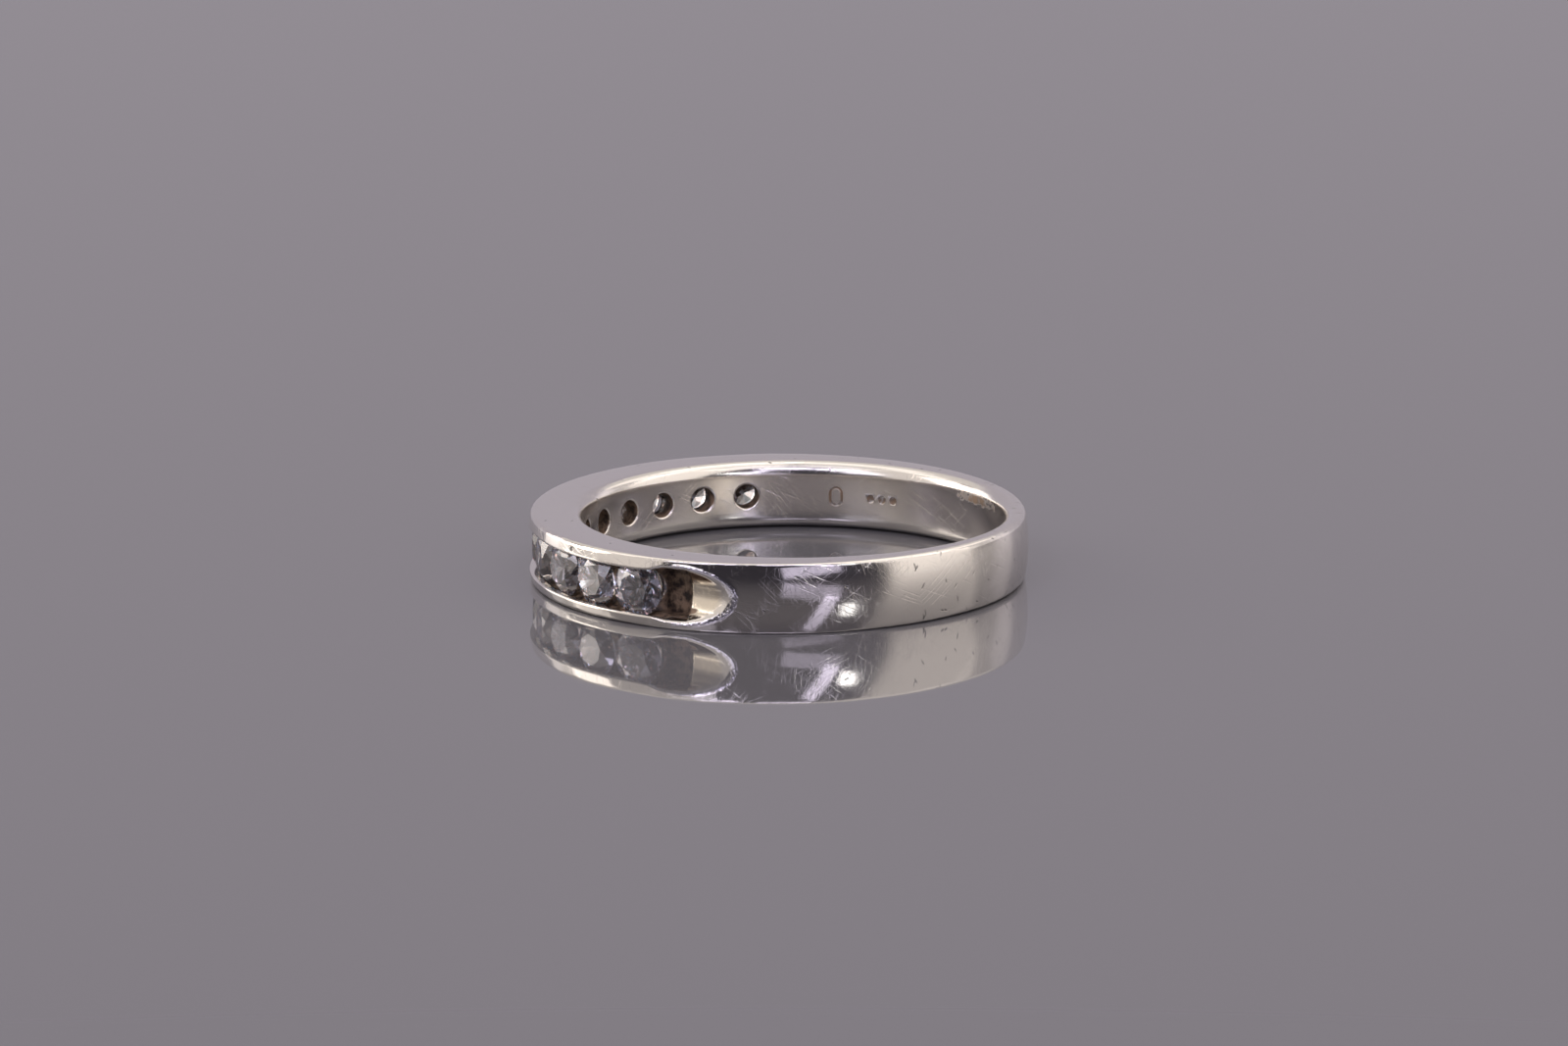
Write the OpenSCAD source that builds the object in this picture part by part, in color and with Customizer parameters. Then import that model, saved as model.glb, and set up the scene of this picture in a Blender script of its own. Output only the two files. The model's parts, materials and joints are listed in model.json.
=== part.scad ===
// Channel set band ring: a tapered metal band with a row of round brilliants between two rails.
// The origin is the middle of the finger bore, +Z runs along the bore and the middle stone faces -Y.
// Angles round the band are counted from the middle stone, positive towards +X.

/* [Finger bore] */
// Diameter of the finger bore
bore_d = 17; // [16.5:0.5:18]
// Rounding of the bore's two edges, which makes the ring easy to slide on
bore_round = 0.45; // [0.3:0.05:0.5]

/* [Band] */
// Width of the band along the bore
band_w = 2.8; // [2.7:0.05:3]
// Wall at the stones, at the band's edge
head_wall = 2.05; // [2:0.05:2.2]
// Wall at the back of the finger, at the band's edge
back_wall = 0.79; // [0.75:0.02:0.85]
// How much the outer face bulges between its two edges
dome_rise = 0.15; // [0.1:0.01:0.2]
// Flat cut off the outer edges
edge_break = 0.05; // [0.03:0.01:0.08]
// How far the shoulders' arcs are centred to the side of the bore's axis
shoulder_side = 0.63; // [0.6:0.01:0.66]
// How far the shoulders' arcs are centred towards the stones
shoulder_front = 0.84; // [0.82:0.01:0.86]

/* [Stones] */
// Number of stones in the channel
stone_count = 11; // [7:2:11]
// Diameter of a stone
stone_d = 2.2; // [2.1:0.05:2.2]
// Gap between two neighbouring stones' girdles
stone_gap = 0.065; // [0.06:0.005:0.1]
// Depth of a stone's table below the middle of the band's outer face
table_sink = 0.31; // [0.28:0.01:0.35]
// Diameter of the table as a share of the stone
table_share = 0.57; // [0.53:0.01:0.62]
// Slope of the crown's kite facets
crown_angle = 34.5; // [33:0.5:36]
// Slope of the pavilion's main facets
pavilion_angle = 41; // [40:0.2:41.6]
// Thickness of the girdle
girdle_t = 0.05; // [0.03:0.01:0.07]
// Length of the star facets as a share of the way from table to girdle
star_share = 0.5; // [0.45:0.01:0.6]
// Length of the lower girdle facets as a share of the way from girdle to point
lower_share = 0.77; // [0.7:0.01:0.82]
// Turn of each stone about its own axis against the one before
stone_turn = 17; // [0:1:44]
// Diameter of the small facet at the stone's point
culet_d = 0.06; // [0.04:0.01:0.1]

/* [Channel] */
// Width of the opening between the rails
slot_w = 1.87; // [1.8:0.01:1.9]
// Metal left between the finger bore and the channel's floor
floor_t = 0.75; // [0.7:0.05:0.8]
// Clearance of a stone in the groove
seat_gap = 0.025; // [0.02:0.005:0.03]
// Diameter of the drilled holes under the stones
azure_d = 1; // [0.9:0.05:1.05]
// Chamfer where those holes meet the finger bore
azure_chamfer = 0.06; // [0.04:0.01:0.08]

/* [Scooped ends] */
// Diameter of the round cutter that scoops out each end of the channel
scoop_d = 2.26; // [2.2:0.02:2.3]
// How far past the last stone the cutter stands at its deepest
scoop_past = 15.4; // [14:0.1:16]
// Angle at which the cutter climbs out of the metal
scoop_climb = 33.5; // [32:0.5:38]

/* [Plain punch marks] */
// Depth of the marks inside the band
mark_depth = 0.04; // [0.03:0.01:0.06]
// Height of the oval, along the bore
oval_h = 0.85; // [0.75:0.05:0.9]
// Width of the oval
oval_w = 0.6; // [0.5:0.05:0.65]
// Width of the oval's sunk line
oval_line = 0.12; // [0.08:0.01:0.15]
// Where the oval is
oval_angle = -90; // [-95:1:-85]
// Diameter of each of the three round dots beside it
dot_d = 0.36; // [0.3:0.02:0.4]
// Where the middle dot is
dots_angle = -103.5; // [-110:0.5:-102]
// Angle from one dot to the next
dot_pitch = 3.4; // [3:0.2:3.6]

/* [Hidden] */
$fn = 96;
// Sides of a round shape that goes all the way round the band
fine_fn = 360;
function stone_name(i) = str("stone_", i < 10 ? "0" : "", i);

// How far the cutting shapes reach past the metal
past = 1;
bore_r = bore_d / 2;

// Outline of the band at its edges: four arcs that run into each other, the head's about the bore's
// axis, one at each shoulder and one round the back
head_r = bore_r + head_wall;
shoulder_r = head_r - norm([shoulder_side, shoulder_front]);
back_reach = bore_r + back_wall;
step_r = shoulder_r - back_reach;
back_front = (pow(shoulder_side, 2) + pow(shoulder_front, 2) - pow(step_r, 2))
  / (2 * (shoulder_front - step_r));
back_r = back_reach + back_front;
// Corners of the sectors that the arcs fill, well outside the band on the lines where the arcs meet
sector_reach = 25;
head_corner = sector_reach * [shoulder_side, -shoulder_front];
back_corner = [0, -back_front] + sector_reach * [shoulder_side, back_front - shoulder_front];
// Inner end of the section that is swept, well inside the finger bore
section_from = bore_r - 3;
// Radius of the arc that the outer face has across the band
dome_r = (pow(band_w / 2, 2) + pow(dome_rise, 2)) / (2 * dome_rise);

// A stone's heights along its own axis, which is a radius of the band
stone_r = stone_d / 2;
table_r = stone_r * table_share;
crown_h = (stone_r - table_r) * tan(crown_angle);
culet_r = culet_d / 2;
pavilion_h = (stone_r - culet_r) * tan(pavilion_angle);
table_at = head_r + dome_rise - table_sink;
girdle_top = table_at - crown_h;
girdle_low = girdle_top - girdle_t;
stone_pitch = 2 * asin((stone_r + stone_gap / 2) / girdle_low);
last_stone = stone_pitch * (stone_count - 1) / 2;

// The groove's V follows the stone's crown and pavilion from the rail to the girdle. The girdle is flat
// and the groove is round, so the groove's upper flank stands off by seat_bow more.
seat_r = stone_r + seat_gap;
seat_in = seat_r - slot_w / 2;
seat_bow = sqrt(pow(girdle_top, 2) + pow(stone_r, 2) - pow(slot_w / 2, 2)) - girdle_top;
seat_low = girdle_low - seat_gap;
seat_top = girdle_top + seat_gap + seat_bow;
channel_end = last_stone + scoop_past;
floor_r = bore_r + floor_t;
scoop_r = scoop_d / 2;
// Length of the cutter's climb, more than it needs to leave the metal
scoop_run = 4 * scoop_r;

module turn_to(angle) {
  rotate([0, 0, angle - 90]) children();
}

// Section of the band at one of its arcs, with x along the radius and y along the bore. The polygon's
// two slopes break the outer edges.
module section(edge_r) {
  intersection() {
    translate([edge_r + dome_rise - dome_r, 0]) circle(r = dome_r, $fn = fine_fn);
    polygon([
      [section_from, -band_w / 2],
      [edge_r - edge_break, -band_w / 2],
      [edge_r - edge_break + band_w / 2, 0],
      [edge_r - edge_break, band_w / 2],
      [section_from, band_w / 2],
    ]);
  }
}

// One arc of the band, centred at a point and kept to the sector with these corners
module arc_of_band(centre, edge_r, corners) {
  intersection() {
    linear_extrude(band_w + 2 * past, center = true) polygon(corners);
    translate([centre.x, centre.y, 0]) rotate_extrude($fn = fine_fn) section(edge_r);
  }
}

module shoulder() {
  centre = [shoulder_side, -shoulder_front];
  arc_of_band(centre, shoulder_r, [centre, head_corner, [back_corner.x, head_corner.y], back_corner]);
}

module blank() {
  arc_of_band([0, 0], head_r, [[0, 0], [-head_corner.x, head_corner.y], head_corner]);
  shoulder();
  mirror([1, 0, 0]) shoulder();
  arc_of_band([0, -back_front], back_r, [
    [0, -back_front], back_corner, [back_corner.x, sector_reach],
    [-back_corner.x, sector_reach], [-back_corner.x, back_corner.y],
  ]);
}

module finger_bore() {
  rotate_extrude($fn = fine_fn) {
    translate([0, -band_w / 2 - past]) square([bore_r, band_w + 2 * past]);
    for (side = [0, 1]) mirror([0, side]) difference() {
      translate([bore_r - bore_round, band_w / 2 - bore_round])
        square([2 * bore_round, bore_round + past]);
      translate([bore_r + bore_round, band_w / 2 - bore_round]) circle(r = bore_round);
    }
  }
}

module channel() {
  groove = [
    [seat_low - seat_in * tan(pavilion_angle), slot_w / 2],
    [seat_low, seat_r],
    [seat_top, seat_r],
    [seat_top + seat_in * tan(crown_angle), slot_w / 2],
  ];
  other_side = [for (i = [len(groove) - 1:-1:0]) [groove[i].x, -groove[i].y]];
  turn_to(-channel_end) rotate_extrude(angle = 2 * channel_end, $fn = fine_fn) {
    translate([floor_r, -slot_w / 2]) square([head_wall + past, slot_w]);
    polygon(concat(groove, other_side));
  }
}

// The hollow that a round cutter leaves when it climbs out of the channel's end
module scoop() {
  turn_to(channel_end) translate([floor_r + scoop_r, 0, 0]) {
    sphere(r = scoop_r);
    rotate([-90, 0, -scoop_climb]) cylinder(r = scoop_r, h = scoop_run);
  }
}

module azure_hole(angle) {
  turn_to(angle) rotate([0, 90, 0]) {
    translate([0, 0, bore_r - past]) cylinder(d = azure_d, h = floor_t + 2 * past);
    translate([0, 0, bore_r - azure_chamfer])
      cylinder(d1 = azure_d + 4 * azure_chamfer, d2 = azure_d, h = 2 * azure_chamfer);
  }
}

module oval(h, w) {
  square([h - w, w], center = true);
  for (end = [-1, 1]) translate([end * (h - w) / 2, 0]) circle(d = w);
}

// A shallow plain mark in the finger bore's wall
module punched(angle) {
  turn_to(angle) rotate([0, 90, 0]) linear_extrude(bore_r + mark_depth) children();
}

module marks() {
  punched(oval_angle) difference() {
    oval(oval_h, oval_w);
    oval(oval_h - 2 * oval_line, oval_w - 2 * oval_line);
  }
  for (i = [-1:1]) punched(dots_angle + i * dot_pitch) circle(d = dot_d);
}

module band() {
  color("lightgray") difference() {
    blank();
    finger_bore();
    channel();
    for (side = [0, 1]) mirror([side, 0, 0]) scoop();
    for (i = [1:stone_count]) azure_hole(stone_angle(i));
    marks();
  }
}

function stone_angle(i) = (i - 1) * stone_pitch - last_stone;

// Angle from one of a brilliant's eight main facets to the next
facet_step = 45;

// Eight points on a level circle, turned by a share of facet_step
function ring8(r, z, turn = 0) =
  [for (k = [0:7]) let (a = facet_step * (k + turn)) [r * cos(a), r * sin(a), z]];

// A round brilliant, table up, with its girdle's upper edge at height 0. Its points come in rings of
// eight: table, crown, girdle's top and bottom on the main facets' lines and between them, pavilion, point.
module brilliant() {
  // Share of its radius that a point half way between two main facets has along each of them
  aside = cos(facet_step / 2);
  crown_r = table_r * aside + star_share * (stone_r - table_r * aside);
  crown_z = crown_h - (crown_r * aside - table_r) * tan(crown_angle);
  lower_r = (1 - lower_share) * stone_r;
  lower_z = -girdle_t - (stone_r - lower_r * aside) * tan(pavilion_angle);
  points = concat(
    ring8(table_r, crown_h), ring8(crown_r, crown_z, 0.5),
    ring8(stone_r, 0), ring8(stone_r, 0, 0.5),
    ring8(stone_r, -girdle_t), ring8(stone_r, -girdle_t, 0.5),
    ring8(lower_r, lower_z, 0.5), ring8(culet_r / aside, -girdle_t - pavilion_h, 0.5)
  );
  table = 0; crown = 8; top = 16; top_mid = 24; low = 32; low_mid = 40; lower = 48; point = 56;
  faces = concat(
    [[for (k = [7:-1:0]) table + k], [for (k = [0:7]) point + k]],
    [for (k = [0:7]) let (n = (k + 1) % 8, b = (k + 7) % 8) each [
      // star, kite and the two upper girdle facets beside it
      [table + k, table + n, crown + k],
      [table + k, crown + k, top + k, crown + b],
      [crown + k, top_mid + k, top + k],
      [crown + k, top + n, top_mid + k],
      // girdle
      [top + k, top_mid + k, low_mid + k, low + k],
      [top_mid + k, top + n, low + n, low_mid + k],
      // the two lower girdle facets and the pavilion's main facet
      [lower + k, low + k, low_mid + k],
      [lower + k, low_mid + k, low + n],
      [low + k, lower + k, point + k, point + b, lower + b],
    ]]
  );
  polyhedron(points = points, faces = faces);
}

module stone(i) {
  color("aliceblue") turn_to(stone_angle(i)) rotate([0, 90, 0])
    translate([0, 0, girdle_top]) rotate([0, 0, i * stone_turn]) brilliant();
}

band();
for (i = [1:stone_count]) stone(i);
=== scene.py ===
import json
import math

import bmesh
import bpy
import numpy as np
from mathutils import Matrix, Vector


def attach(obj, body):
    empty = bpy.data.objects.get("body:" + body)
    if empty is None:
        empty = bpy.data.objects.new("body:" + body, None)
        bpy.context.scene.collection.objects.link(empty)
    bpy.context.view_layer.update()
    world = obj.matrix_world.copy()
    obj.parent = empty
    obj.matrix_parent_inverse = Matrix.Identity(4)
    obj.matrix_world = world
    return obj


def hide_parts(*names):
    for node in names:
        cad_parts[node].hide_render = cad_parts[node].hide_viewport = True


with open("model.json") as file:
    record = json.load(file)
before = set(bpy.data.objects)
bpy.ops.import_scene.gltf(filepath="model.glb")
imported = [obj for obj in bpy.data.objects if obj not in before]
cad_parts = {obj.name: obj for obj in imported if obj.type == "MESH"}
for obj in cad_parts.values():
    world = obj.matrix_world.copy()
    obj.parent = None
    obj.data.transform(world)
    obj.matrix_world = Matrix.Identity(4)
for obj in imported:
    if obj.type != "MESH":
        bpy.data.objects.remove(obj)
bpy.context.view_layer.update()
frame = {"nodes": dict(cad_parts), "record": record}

# Lengths of the ring are worked out in millimetres, and meshes are written in metres.
MM = 0.001
STONES = sorted(name for name in frame["nodes"] if name.startswith("stone_"))


def points_of(piece):
    """The corners of an object's mesh, in millimetres."""
    found = np.empty(len(piece.data.vertices) * 3)
    piece.data.vertices.foreach_get("co", found)
    return found.reshape(-1, 3) / MM


def node_points(name):
    return points_of(frame["nodes"][name])


def mount(name):
    return next(m for m in frame["record"]["mounts"] if m["name"] == name)


# The ring's sizes. Angles round the band are counted from the middle stone at -Y, positive towards +X.
BORE_R = mount("finger_bore")["dims"]["r_mm"]
HALF_W = node_points("band")[:, 2].max()
BACK_REACH = node_points("band")[:, 1].max()

# The outer face: round the head, the shoulders and the back, and domed across
DOME_RISE = 0.15
DOME_R = (HALF_W**2 + DOME_RISE**2) / (2 * DOME_RISE)
HEAD_EDGE_R = 10.55
SHOULDER_CENTRE = (0.63, -0.84)
SHOULDER_EDGE_R = HEAD_EDGE_R - math.hypot(*SHOULDER_CENTRE)
BACK_CENTRE_Y = SHOULDER_CENTRE[1]
BACK_EDGE_R = BACK_REACH - DOME_RISE - BACK_CENTRE_Y

# Worn edges
BORE_ROUND = 0.45
RAIL_LIP = 0.1
SCOOP_LIP = 0.12
SCOOP_RIDGE = 0.035

# The channel, its V groove and the metal pushed over the stones
SLOT_HALF = 0.935
FLOOR_R = BORE_R + 0.75
GROOVE_DEPTH = 0.19
GROOVE_SLOPE = 0.78
RAIL_OVERHANG = 0.1
STONE_RISE = 0.08

# The scooped ends: a round cutter that starts a step above the channel's floor and climbs
SCOOP_R = 1.13
SCOOP_STEP = 0.4
SCOOP_CLIMB = math.radians(14.3)
SCOOP_BLEND = 0.16

# The drilled holes under the stones
AZURE_R = 0.5
AZURE_LIP = 0.09

# The plain marks inside the band, and the angles of the oval and of the first dot
MARK_DEPTH = 0.04
DOT_R = 0.18
OVAL_HEIGHT, OVAL_WIDTH, OVAL_LINE = 0.85, 0.6, 0.12
OVAL_ANGLE = math.radians(-90)
DOT_STEP = math.radians(3.4)
FIRST_DOT = math.radians(-103.5) - DOT_STEP


def polar(angle, radius, z=0.0):
    """A point at an angle round the band, in millimetres."""
    return Vector((radius * math.sin(angle), -radius * math.cos(angle), z))


class Stone:
    """Where a stone of the frame stands: its angle round the band, its heights that way, and its radius."""

    def __init__(self, name):
        points = node_points(name)
        middle = np.unique(points.round(4), axis=0).mean(0)
        self.angle = math.atan2(middle[0], -middle[1])
        outward = np.array(polar(self.angle, 1.0))
        heights = points @ outward
        aside = np.linalg.norm(points - np.outer(heights, outward), axis=1)
        widest = heights[aside > aside.max() * 0.999]
        self.radius = aside.max()
        self.table, self.point = heights.max(), heights.min()
        self.girdle_top, self.girdle_low = widest.max(), widest.min()


PLACES = {name: Stone(name) for name in STONES}
LAST_STONE = max(place.angle for place in PLACES.values())
STONE_STEP = LAST_STONE * 2 / (len(STONES) - 1)
GIRDLE_MIDDLE = (PLACES[STONES[0]].girdle_top + PLACES[STONES[0]].girdle_low) / 2


def past_last_stone(degrees):
    return LAST_STONE + math.radians(degrees)


RAIL_END = past_last_stone(7.0)
GROOVE_END = past_last_stone(9.0)
SCOOP_FROM = past_last_stone(8.5)
SCOOP_TURN = past_last_stone(12.4)
SLOT_END = past_last_stone(12.6)
SCOOP_END = past_last_stone(28.4)


# The band as a field of distances: below zero in the metal, above zero outside it

def eased(t):
    """0 below 0, 1 above 1, and a smooth step between them."""
    t = np.clip(t, 0, 1)
    return t * t * (3 - 2 * t)


def rounded(a, b, radius):
    """What lies inside both a and b, with the edge where they meet rounded to a radius."""
    u, v = a + radius, b + radius
    corner = np.hypot(np.maximum(u, 0), np.maximum(v, 0))
    return np.minimum(np.maximum(u, v), 0) + corner - radius


def blended(a, b, reach):
    """What lies in a or b, run together over a short reach."""
    h = np.clip(0.5 + 0.5 * (b - a) / reach, 0, 1)
    return b + (a - b) * h - reach * h * (1 - h)


def outer_field(x, y, z):
    """Distance to the outer face: four arcs round the band, each domed across it."""
    head = (y < 0) & (np.abs(x) * -SHOULDER_CENTRE[1] < -y * SHOULDER_CENTRE[0])
    back = y > BACK_CENTRE_Y
    centre_x = np.where(head | back, 0.0, np.sign(x) * SHOULDER_CENTRE[0])
    centre_y = np.where(head, 0.0, BACK_CENTRE_Y)
    edge_r = np.where(head, HEAD_EDGE_R, np.where(back, BACK_EDGE_R, SHOULDER_EDGE_R))
    from_dome = np.hypot(x - centre_x, y - centre_y) - (edge_r + DOME_RISE - DOME_R)
    return np.hypot(from_dome, z) - DOME_R


def edge_wear(angle):
    """Radius of the outer edges: softened beside the stones, crisp at the scoops, worn round at the back."""
    crisp, at_back, at_stones = 0.07, 0.15, 0.09
    size = np.abs(angle)
    back = eased((size - math.radians(100)) / math.radians(50))
    front = eased((math.radians(74) - size) / math.radians(12))
    ripple = 0.008 * np.sin(angle * 37 + 1.3) * np.sin(angle * 23) + 0.006 * np.sin(angle * 91 + 0.4)
    return crisp + at_back * back + at_stones * front + ripple


def bore_wear(angle):
    """Radius of the bore's edges, which are worn rounder on one side."""
    uneven, rounder_side = 0.12, math.radians(-75)
    return BORE_ROUND + uneven * np.cos(angle - rounder_side) ** 3


def scoop_path():
    """Where the round cutter starts on the +X side, where it starts to climb, and the way that it climbs."""
    low = FLOOR_R + SCOOP_STEP + SCOOP_R
    along = polar(SCOOP_TURN + math.pi / 2 - SCOOP_CLIMB, 1.0)
    return np.array(polar(SCOOP_FROM, low)), np.array(polar(SCOOP_TURN, low)), np.array(along)


def nearest_stone(angle):
    """Angle of the stone nearest to an angle that is counted without its sign."""
    return np.minimum(np.round(angle / STONE_STEP) * STONE_STEP, LAST_STONE)


def settled(angle, across):
    """How high the packed dirt stands on the channel's floor: a bed that follows the undersides of the stones."""
    highest, slope, sunk = 0.6, 0.87, 0.4
    aside = np.hypot((angle - nearest_stone(angle)) * (FLOOR_R + 0.4), across)
    grains = 0.02 * np.sin(angle * 160) * np.sin(across * 14 + angle * 60)
    height = np.clip(slope * aside - sunk, 0, highest) + grains
    return np.maximum(height, 0) * (1 - eased((angle - past_last_stone(1.5)) / math.radians(3.5)))


def cut_field(x, y, z):
    """Distance to the air of the channel, its V grooves and its two scooped ends."""
    across = np.abs(z)
    radius = np.hypot(x, y)
    angle = np.abs(np.arctan2(x, -y))
    fade = np.clip((GROOVE_END - angle) / math.radians(2), 0, 1)
    groove = GROOVE_DEPTH * fade - GROOVE_SLOPE * np.abs(radius - GIRDLE_MIDDLE)
    pushed = RAIL_OVERHANG * eased((z - 0.3) / 0.3) * (1 - eased((angle - LAST_STONE) / math.radians(8)))
    wall = across - SLOT_HALF + pushed * eased((radius - GIRDLE_MIDDLE) / 0.2) - np.maximum(groove, 0)
    floor = FLOOR_R + settled(angle, across) - radius
    end = (angle - SLOT_END) * FLOOR_R
    slot = np.maximum(np.maximum(wall, floor), end)
    start, turn, along = scoop_path()
    p = np.stack([np.abs(x), y, z], axis=-1)
    level = turn - start
    share = np.clip((p - start) @ level / (level @ level), 0, 1)
    run = np.linalg.norm(p - start - share[..., None] * level, axis=-1)
    climbed = np.maximum((p - turn) @ along, 0)
    climb = np.linalg.norm(p - turn - climbed[..., None] * along, axis=-1)
    return blended(slot, np.minimum(run, climb) - SCOOP_R, SCOOP_BLEND)


def lip_wear(angle):
    """Radius of the cut's rim: small along the rails, burnished round at the scoops."""
    return RAIL_LIP + (SCOOP_LIP - RAIL_LIP) * eased((np.abs(angle) - RAIL_END) / math.radians(4))


def band_field(points):
    x, y, z = points[..., 0], points[..., 1], points[..., 2]
    sides = np.abs(z) - HALF_W
    angle = np.arctan2(x, -y)
    outside = rounded(outer_field(x, y, z), sides, edge_wear(angle))
    inside = rounded(BORE_R - np.hypot(x, y), sides, bore_wear(angle))
    cut = cut_field(x, y, z)
    uneven = 0.8 + 0.2 * np.sin(angle * 173 + z * 5) * np.sin(z * 21 + angle * 60)
    at_scoop = eased((np.abs(angle) - SCOOP_FROM - math.radians(0.5)) / math.radians(3))
    from_rim, spread = 0.11, 0.05
    ridge = SCOOP_RIDGE * uneven * at_scoop * np.exp(-((cut - from_rim) / spread) ** 2)
    return rounded(np.maximum(outside - ridge, inside), -cut, lip_wear(angle))


def onto_surface(points):
    """Slides points to where the field is zero, by its slope, in short moves."""
    passes, step, longest, least_slope = 9, 0.0005, 0.2, 0.2
    for _ in range(passes):
        here = band_field(points)
        slope = np.empty_like(points)
        for axis in range(3):
            off = np.zeros(3)
            off[axis] = step
            slope[..., axis] = (band_field(points + off) - band_field(points - off)) / (2 * step)
        steepness = np.maximum((slope**2).sum(-1), least_slope)
        points = points - (np.clip(here, -longest, longest) / steepness)[..., None] * slope
    return points


# The band's mesh: stations round the ring, each a closed line of points round the section

def stations():
    """Angles of the sections, close together at the scooped ends."""
    at_stones, at_scoop, at_back = math.radians(0.55), math.radians(0.16), math.radians(1.0)
    half = np.concatenate([
        np.linspace(0, RAIL_END, round(RAIL_END / at_stones), endpoint=False),
        np.linspace(RAIL_END, SCOOP_END, round((SCOOP_END - RAIL_END) / at_scoop), endpoint=False),
        np.linspace(SCOOP_END, math.pi, round((math.pi - SCOOP_END) / at_back) + 1),
    ])
    return np.concatenate([-half[:0:-1], half[:-1]])


def outer_reach(angle, z):
    """How far out the outer face is at an angle and a height, found by closing in on it."""
    low, high = np.full_like(z, BORE_R), np.full_like(z, HEAD_EDGE_R + 1)
    halvings = 24
    for _ in range(halvings):
        mid = (low + high) / 2
        outside = outer_field(mid * math.sin(angle), -mid * math.cos(angle), z) > 0
        low, high = np.where(outside, low, mid), np.where(outside, mid, high)
    return (low + high) / 2


def cut_reach(angle, z, outer):
    """How far out the cut's lowest point is at an angle and a height, or the outer face where nothing is cut."""
    tries, under_floor = 160, 0.1
    depth = np.linspace(0, 1, tries)[:, None]
    radius = FLOOR_R - under_floor + (outer - FLOOR_R + under_floor) * depth
    air = cut_field(radius * math.sin(angle), -radius * math.cos(angle), z + 0 * radius) < 0
    first = np.where(air.any(0), air.argmax(0), len(depth) - 1)
    return np.take_along_axis(radius, first[None], 0)[0]


def opening_half(angle):
    """Half of the opening's width at the outer face, at an angle."""
    tries = 281
    z = np.linspace(0, HALF_W, tries)
    outer = outer_reach(angle, z)
    air = cut_field(outer * math.sin(angle), -outer * math.cos(angle), z) < 0
    return z[air].max() if air.any() else 0.0


def before_end(count):
    """Equal shares from 0 up to 1, without the 1."""
    return np.linspace(0, 1, count + 1)[:-1]


def after_start(count):
    """Equal shares from 0 up to 1, without the 0."""
    return np.linspace(0, 1, count + 1)[1:]


def section(angle):
    """Points of the upper half of the section at an angle, from the middle of the channel round to the bore.

    onto_surface moves them into place, so here they only stand near the surface, close together where it bends.
    """
    size = abs(angle)
    quarter = math.pi / 2
    narrowest, plain = 0.42, 0.86
    beyond = eased((size - past_last_stone(27.4)) / math.radians(12))
    guide = max(opening_half(angle), narrowest + (plain - narrowest) * beyond)
    scooped = float(eased((size - SLOT_END + math.radians(0.2)) / math.radians(0.9)))
    bowl_floor = 0.7
    lines = []
    # Floor
    z = before_end(10) * (SLOT_HALF * (1 - scooped) + bowl_floor * guide * scooped)
    lines.append((cut_reach(angle, z, outer_reach(angle, z)), z))
    # Wall
    part = before_end(14)
    foot = FLOOR_R + float(settled(size, SLOT_HALF))
    rail_z = np.full(len(part), SLOT_HALF)
    rail_r = foot + (HEAD_EDGE_R - foot) * part
    bowl_z = guide * (bowl_floor + (1 - bowl_floor) * np.sin(part * quarter))
    bowl_r = cut_reach(angle, bowl_z, outer_reach(angle, bowl_z))
    lines.append((rail_r * (1 - scooped) + bowl_r * scooped, rail_z * (1 - scooped) + bowl_z * scooped))
    # Rim and outer face
    face_end = HALF_W - 0.09
    rim = guide + min(0.32, 0.8 * (face_end - guide)) * before_end(10)
    face = rim[-1] + (face_end - rim[-1]) * after_start(5)
    z = np.concatenate([rim, face])
    lines.append((outer_reach(angle, z), z))
    # Outer edge
    corner_r = outer_reach(angle, np.array([HALF_W]))[0]
    worn = float(edge_wear(np.array(angle)))
    turn = after_start(7) * quarter
    lines.append((corner_r - worn + worn * np.cos(turn), HALF_W - worn + worn * np.sin(turn)))
    # Flat face
    bore_round = float(bore_wear(np.array(angle)))
    start, end = corner_r - worn, BORE_R + bore_round
    r = start + (end - start) * after_start(3)
    lines.append((r, np.full(len(r), HALF_W)))
    # Rounded edge of the bore, then half of its wall
    turn = after_start(11) * quarter
    lines.append((BORE_R + bore_round * (1 - np.sin(turn)), HALF_W - bore_round * (1 - np.cos(turn))))
    z = (HALF_W - bore_round) * (1 - after_start(4))
    lines.append((np.full(len(z), BORE_R), z))
    # The lower half mirrors the upper one
    r = np.concatenate([line[0] for line in lines])
    z = np.concatenate([line[1] for line in lines])
    r, z = np.concatenate([r, r[-2:0:-1]]), np.concatenate([z, -z[-2:0:-1]])
    return np.stack([r * math.sin(angle), -r * math.cos(angle), z], axis=-1)


def mesh_object(name, points, faces):
    """A new object with a mesh whose points are in millimetres."""
    mesh = bpy.data.meshes.new(name)
    mesh.from_pydata((np.asarray(points) * MM).tolist(), [], faces)
    mesh.validate()
    made = bpy.data.objects.new(name, mesh)
    bpy.context.scene.collection.objects.link(made)
    return made


def set_outwards(made):
    """Turns a mesh's faces outwards."""
    work = bmesh.new()
    work.from_mesh(made.data)
    bmesh.ops.recalc_face_normals(work, faces=work.faces)
    work.to_mesh(made.data)
    work.free()


def woven(rows, cols):
    """Faces between rows of points, closed both ways like a ring's skin."""
    faces = []
    for i in range(rows):
        for k in range(cols):
            here, following, n = i * cols, (i + 1) % rows * cols, (k + 1) % cols
            faces.append((here + k, here + n, following + n, following + k))
    return faces


def band_blank():
    """The band without its drilled holes and punch marks."""
    grid = onto_surface(np.array([section(angle) for angle in stations()]))
    rows, cols = grid.shape[:2]
    made = mesh_object("band_metal", grid.reshape(-1, 3), woven(rows, cols))
    set_outwards(made)
    return made


# Cutters, each drawn at the angle of the middle stone, with its axis along -Y

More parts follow.
